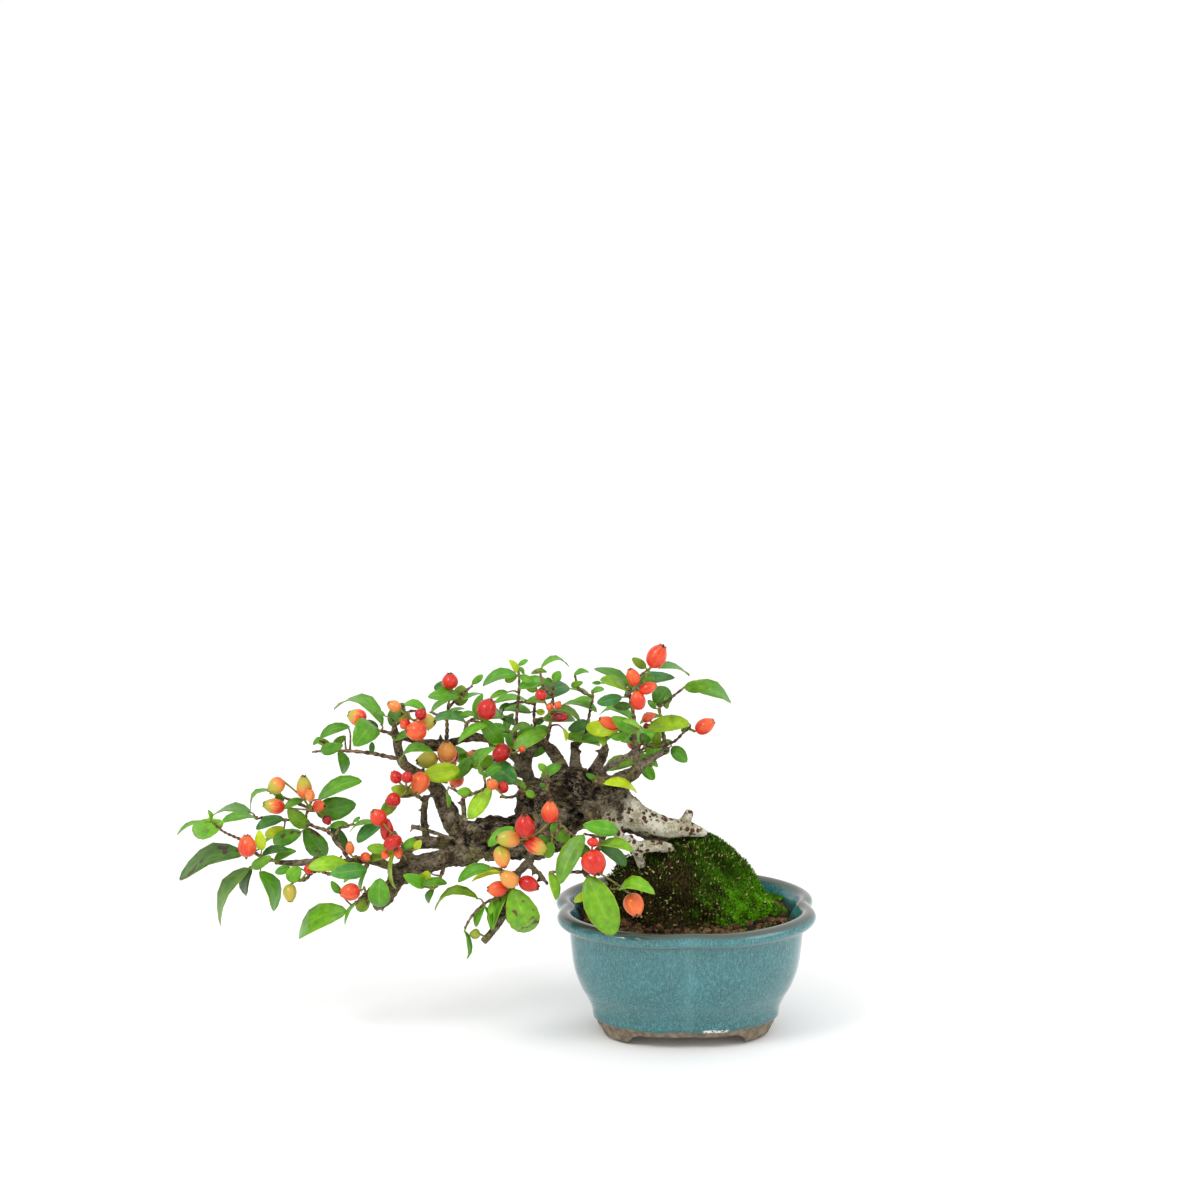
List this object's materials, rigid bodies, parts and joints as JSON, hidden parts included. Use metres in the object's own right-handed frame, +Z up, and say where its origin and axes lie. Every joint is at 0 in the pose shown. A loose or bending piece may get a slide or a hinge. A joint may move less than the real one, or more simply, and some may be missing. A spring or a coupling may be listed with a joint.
{
  "type": "wall cotoneaster bonsai in a pot",
  "caption": "Small rockspray cotoneaster bonsai with red berries, leaning over a glazed lobed pot with moss and exposed roots.",
  "frame": {"origin": "centre of the bounding box in plan, on the plane that the pot's feet stand on", "axes": "+Z up; +X to the right of the front view, along the tree's longest reach; -Y towards the front"},
  "size_m": [0.2192, 0.0894, 0.1429],
  "materials": {
    "glazed_pot": "glossy teal-blue glaze with vertical streaks, bare clay at the foot",
    "soil": "rough dark grit",
    "moss": "rough moss and dark humus",
    "mesh_plastic": "matte",
    "bark": "rough grey-brown bark, smooth buff roots",
    "leaves": "semi-gloss green",
    "berries": "glossy red and orange"
  },
  "bodies": {
    "root": {"tree_wood": "bark", "berries_left_top": "berries", "berries_far_left": "berries", "berries_left_low": "berries", "berries_left_mid": "berries", "berries_left_end": "berries", "berries_upper_left_low": "berries", "berries_mid_red": "berries", "berries_upper_left": "berries", "berries_upper_left_crown": "berries", "berries_arch_left": "berries", "berries_arch_top": "berries", "berries_arch_mid": "berries", "berries_top_mid": "berries", "berries_right_top": "berries", "berries_right_inner": "berries", "berries_right_mid": "berries", "berries_right_end": "berries", "berries_centre_front": "berries", "berries_centre_limb": "berries", "berries_front_upper": "berries", "berries_front_left": "berries", "berries_front_right": "berries", "berries_front_tip": "berries", "berries_back_left": "berries", "berries_back_right": "berries", "spray_far_left": "leaves", "spray_left_top": "leaves", "spray_left_low": "leaves", "spray_left_end": "leaves", "spray_mid_red": "leaves", "spray_under_main": "leaves", "spray_upper_left_low": "leaves", "spray_upper_left_tip": "leaves", "spray_upper_left_crown": "leaves", "spray_arch_left": "leaves", "spray_arch_top": "leaves", "spray_arch_mid": "leaves", "spray_top_rosette": "leaves", "spray_top_mid": "leaves", "spray_top_mid_right": "leaves", "spray_top_right_inner": "leaves", "spray_right_inner": "leaves", "spray_right_top": "leaves", "spray_right_mid": "leaves", "spray_trunk_leaf": "leaves", "spray_centre_limb": "leaves", "spray_centre_left": "leaves", "spray_trunk_front": "leaves", "spray_front_upper": "leaves", "spray_front_low": "leaves", "spray_front_right": "leaves", "spray_back_left": "leaves", "spray_back_mid": "leaves", "spray_back_right": "leaves", "moss_mound": "moss", "soil": "soil", "drain_mesh": "mesh_plastic", "pot": "glazed_pot"}
  },
  "joints": []
}
